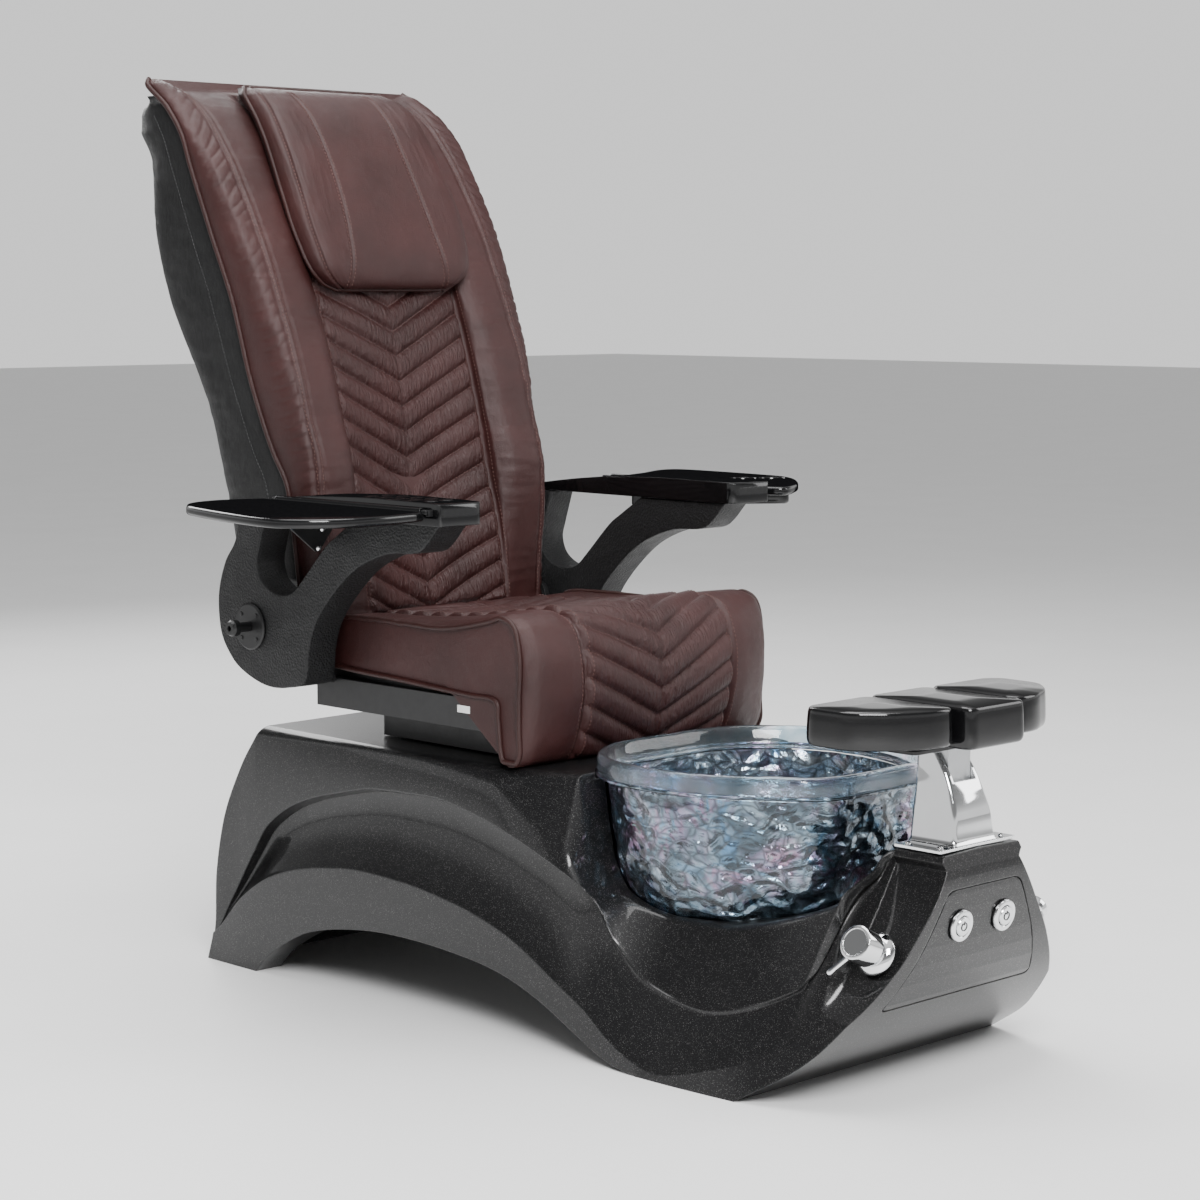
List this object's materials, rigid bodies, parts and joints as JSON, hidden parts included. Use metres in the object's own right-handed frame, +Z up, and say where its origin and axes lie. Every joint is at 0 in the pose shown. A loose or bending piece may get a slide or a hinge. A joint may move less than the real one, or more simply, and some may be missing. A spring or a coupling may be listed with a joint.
{
  "type": "pedicure spa chair",
  "caption": "Reclining pedicure chair on a moulded base with a glass foot bowl, pedestal footrest, lift-up arms with fold-up manicure trays and a quilted leather seat and back.",
  "frame": {"origin": "middle of the footprint, on the floor", "axes": "+Z up, the sitter faces -Y, +X is the sitter's left"},
  "size_m": [1.208, 1.6531, 1.45],
  "materials": {
    "gelcoat": "gloss",
    "bowl_glass": "gloss",
    "brown_leather": "satin",
    "shell_cover": "satin",
    "arm_skin": "matte",
    "gloss_black": "gloss",
    "roller_rubber": "matte",
    "motor_plastic": "satin",
    "white_plastic": "satin",
    "chrome": "polished",
    "bare_steel": "satin",
    "black_steel": "satin"
  },
  "bodies": {
    "base": {"base_shell": "gelcoat", "front_access_panel": "gelcoat", "glass_bowl": "bowl_glass", "drain_body": "chrome", "jet_cover": "chrome", "jet_motor": "motor_plastic", "button_bezel_left": "chrome", "button_bezel_right": "chrome", "valve_escutcheon": "chrome", "valve_body": "bare_steel", "sprayer_escutcheon": "chrome", "footrest_plate": "chrome", "footrest_stand": "chrome", "riser_box": "black_steel", "slide_track": "bare_steel", "slide_actuator": "black_steel"},
    "stopper": {"drain_stopper": "chrome"},
    "impeller": {"jet_impeller": "white_plastic"},
    "button_left_body": {"button_left": "chrome"},
    "button_right_body": {"button_right": "chrome"},
    "valve_handle_body": {"valve_handle": "chrome"},
    "sprayer_knob_body": {"sprayer_knob": "chrome"},
    "footrest": {"footrest_post": "bare_steel", "footrest_hub": "black_steel", "footrest_pad_center": "gloss_black", "footrest_pad_left": "gloss_black", "footrest_pad_right": "gloss_black"},
    "seat": {"seat_pan": "black_steel", "seat_rail_left": "black_steel", "seat_rail_right": "black_steel", "rail_label": "white_plastic", "seat_cushion": "brown_leather", "recline_shaft": "bare_steel", "recline_motor": "motor_plastic", "arm_bracket_left": "black_steel", "arm_bracket_right": "black_steel"},
    "back": {"back_frame": "black_steel", "back_cushion": "brown_leather", "back_shell": "shell_cover", "headrest_pillow": "brown_leather", "massage_track": "bare_steel"},
    "carriage": {"massage_carriage": "motor_plastic"},
    "roller_left": {"massage_roller_left": "roller_rubber"},
    "roller_right": {"massage_roller_right": "roller_rubber"},
    "arm_left_body": {"arm_left": "arm_skin", "arm_cap_left": "gloss_black", "arm_pivot_disc_left": "black_steel", "arm_pivot_bolt_left": "black_steel", "tray_gusset_left": "black_steel", "tray_hinge_pin_left": "bare_steel"},
    "tray_left_body": {"tray_left": "gloss_black", "tray_cups_left": "gloss_black"},
    "arm_right_body": {"arm_right": "arm_skin", "arm_cap_right": "gloss_black", "arm_pivot_disc_right": "black_steel", "arm_pivot_bolt_right": "black_steel", "tray_gusset_right": "black_steel", "tray_hinge_pin_right": "bare_steel"},
    "tray_right_body": {"tray_right": "gloss_black"}
  },
  "joints": [
    {"name": "seat_slide", "type": "slide", "parent": "base", "child": "seat", "axis": [0, 1, 0], "range_m": [0, 0.06]},
    {"name": "back_recline", "type": "hinge", "parent": "seat", "child": "back", "pos_m": [0, 0.395, 0.52], "axis": [-1, 0, 0], "range_deg": [0, 30]},
    {"name": "arm_left_lift", "type": "hinge", "parent": "seat", "child": "arm_left_body", "pos_m": [0.306, 0.4, 0.575], "axis": [-1, 0, 0], "range_deg": [0, 50]},
    {"name": "tray_left_fold", "type": "hinge", "parent": "arm_left_body", "child": "tray_left_body", "pos_m": [0.3645, 0.12, 0.784], "axis": [0, -1, 0], "range_deg": [0, 105]},
    {"name": "arm_right_lift", "type": "hinge", "parent": "seat", "child": "arm_right_body", "pos_m": [-0.306, 0.4, 0.575], "axis": [-1, 0, 0], "range_deg": [0, 50]},
    {"name": "tray_right_fold", "type": "hinge", "parent": "arm_right_body", "child": "tray_right_body", "pos_m": [-0.3645, 0.12, 0.784], "axis": [0, 1, 0], "range_deg": [0, 105]},
    {"name": "footrest_height", "type": "slide", "parent": "base", "child": "footrest", "axis": [0, 0, 1], "range_m": [0, 0.05]},
    {"name": "stopper_lift", "type": "slide", "parent": "base", "child": "stopper", "axis": [0, 0, 1], "range_m": [0, 0.012]},
    {"name": "jet_spin", "type": "hinge", "parent": "base", "child": "impeller", "pos_m": [0, -0.211, 0.3], "axis": [0, -0.9914, 0.1305], "continuous": true},
    {"name": "button_left_press", "type": "slide", "parent": "base", "child": "button_left_body", "axis": [0, 0.9903, 0.1392], "range_m": [0, 0.003], "stiffness_N_per_m": 400, "springref_m": -0.001},
    {"name": "button_right_press", "type": "slide", "parent": "base", "child": "button_right_body", "axis": [0, 0.9903, 0.1392], "range_m": [0, 0.003], "stiffness_N_per_m": 400, "springref_m": -0.001},
    {"name": "valve_turn", "type": "hinge", "parent": "base", "child": "valve_handle_body", "pos_m": [-0.167, -0.752, 0.212], "axis": [-0.8829, 0, 0.4695], "range_deg": [-60, 60]},
    {"name": "sprayer_turn", "type": "hinge", "parent": "base", "child": "sprayer_knob_body", "pos_m": [0.167, -0.752, 0.212], "axis": [0.8829, 0, 0.4695], "range_deg": [-90, 90]},
    {"name": "massage_travel", "type": "slide", "parent": "back", "child": "carriage", "axis": [0, 0.2924, 0.9563], "range_m": [-0.15, 0.15]},
    {"name": "roller_left_spin", "type": "hinge", "parent": "carriage", "child": "roller_left", "pos_m": [0.045, 0.49235, 0.93234], "axis": [1, 0, 0], "continuous": true},
    {"name": "roller_right_spin", "type": "hinge", "parent": "carriage", "child": "roller_right", "pos_m": [-0.045, 0.49235, 0.93234], "axis": [1, 0, 0], "continuous": true}
  ]
}
